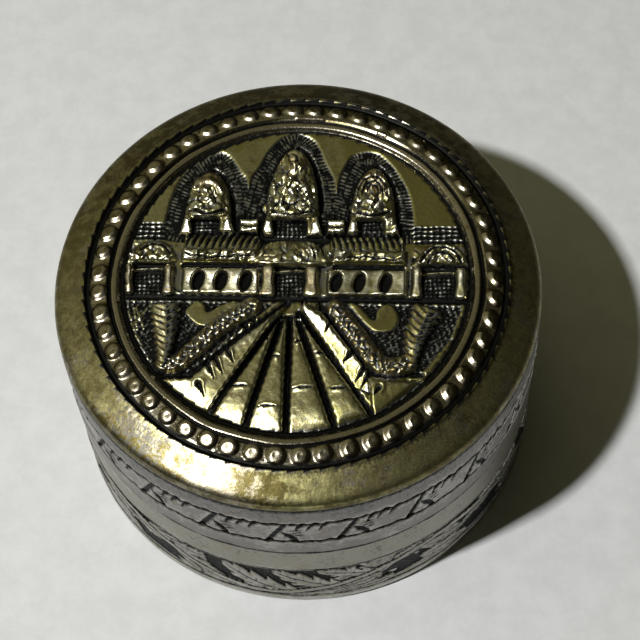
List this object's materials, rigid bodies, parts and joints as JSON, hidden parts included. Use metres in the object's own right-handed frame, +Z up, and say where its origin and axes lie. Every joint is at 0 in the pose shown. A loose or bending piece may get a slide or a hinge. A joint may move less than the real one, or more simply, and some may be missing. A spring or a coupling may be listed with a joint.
{
  "type": "betel nut box",
  "caption": "Round white-metal betel nut box with a slip lid: temple picture in a beaded border on the lid, chevron border on its side, vine frieze round the base.",
  "frame": {"origin": "centre of the underside, on the surface that the box stands on", "axes": "+Z up through the lid, +Y towards the sky of the lid's picture, +X to the right of someone reading the picture"},
  "size_m": [0.064, 0.064, 0.0357],
  "materials": {
    "tarnished_top": "chased white metal with warm yellow tarnish and blackened recesses",
    "white_metal": "worn grey white metal with blackened chasing"
  },
  "bodies": {
    "base": {"base_wall": "white_metal", "inner_collar": "white_metal", "base_bottom": "white_metal"},
    "lid": {"lid_band": "white_metal", "lid_top": "tarnished_top"}
  },
  "joints": [
    {"name": "lid_lift", "type": "slide", "parent": "base", "child": "lid", "axis": [0, 0, 1], "range_m": [0, 0.04]}
  ]
}
